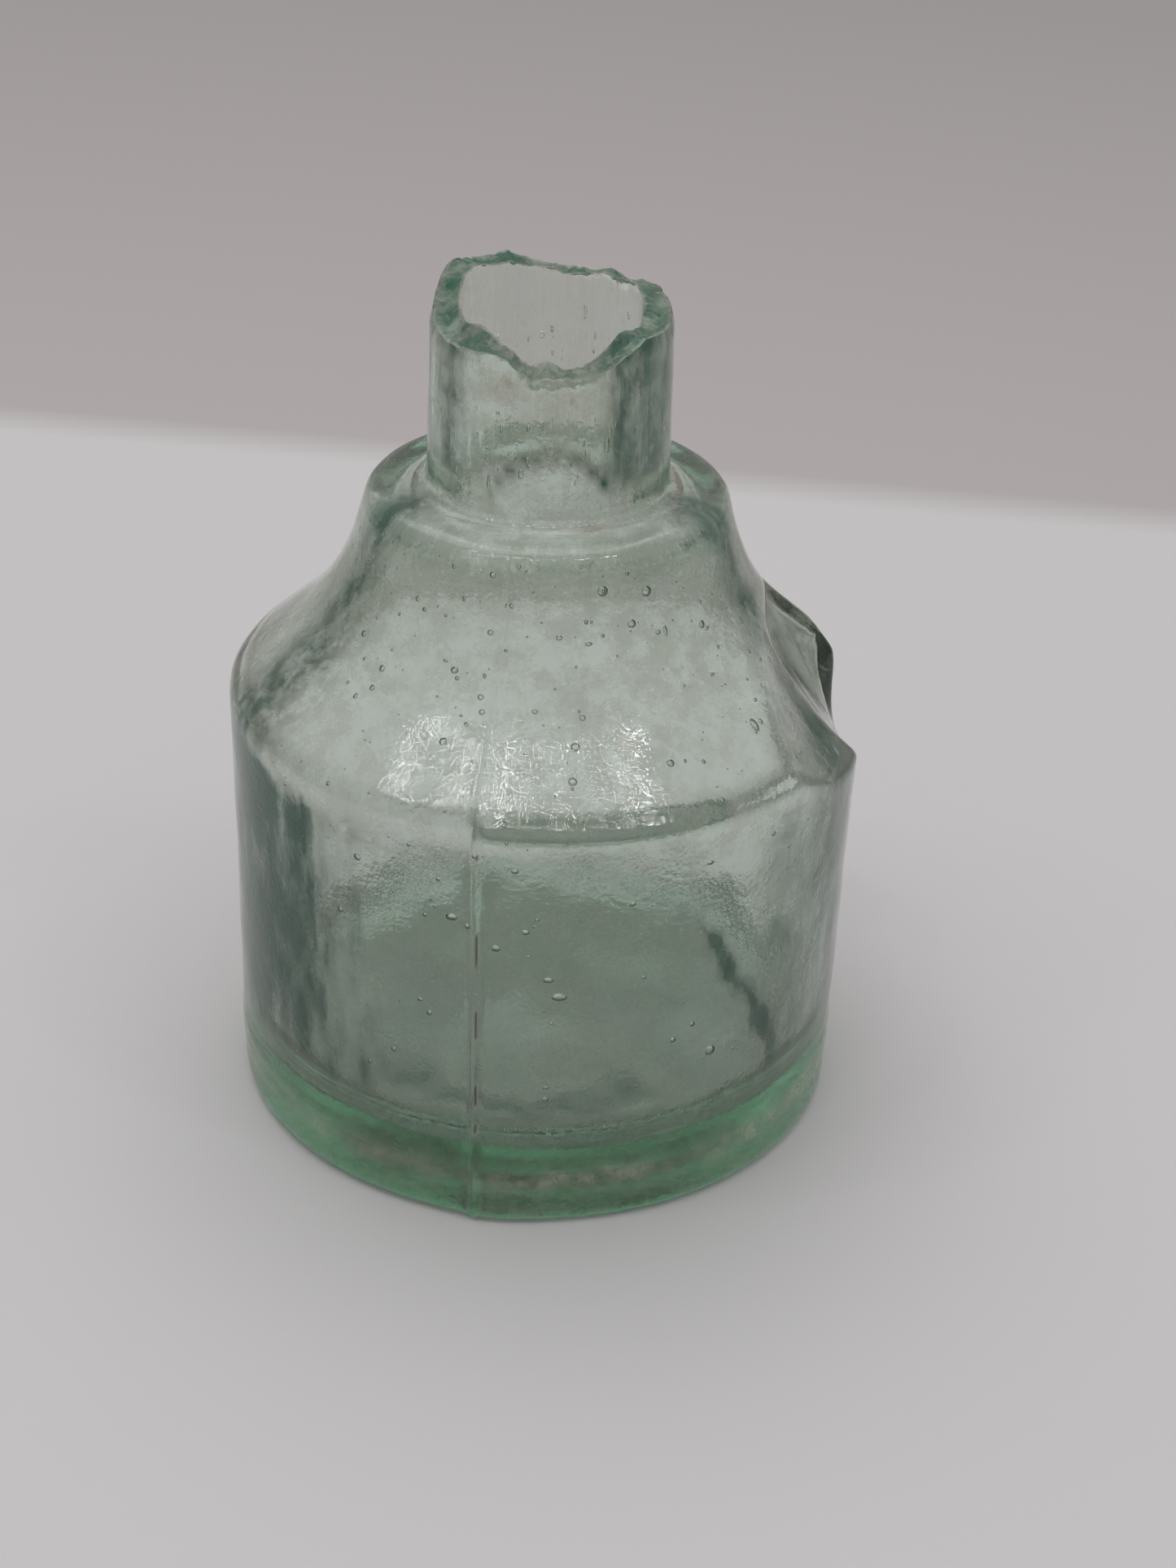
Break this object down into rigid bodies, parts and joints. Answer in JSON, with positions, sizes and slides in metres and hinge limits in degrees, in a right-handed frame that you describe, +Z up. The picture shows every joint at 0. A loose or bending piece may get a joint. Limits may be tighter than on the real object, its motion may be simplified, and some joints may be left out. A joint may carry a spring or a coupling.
{
  "type": "ink bottle",
  "caption": "Small mould-blown glass ink bottle with a bell shoulder, a pen rest pressed into one side and a short neck with a broken lip.",
  "frame": {"origin": "middle of the base, on the surface that the bottle stands on", "axes": "+Z up along the neck, -Y towards the front seam's side, +X towards the pen rest"},
  "size_m": [0.0507, 0.051, 0.0684],
  "materials": {
    "glass": "aqua bottle glass, glossy and hazy, with seed bubbles, fine scratches and a raw break at the lip"
  },
  "bodies": {
    "root": {"bottle": "glass"}
  },
  "joints": []
}
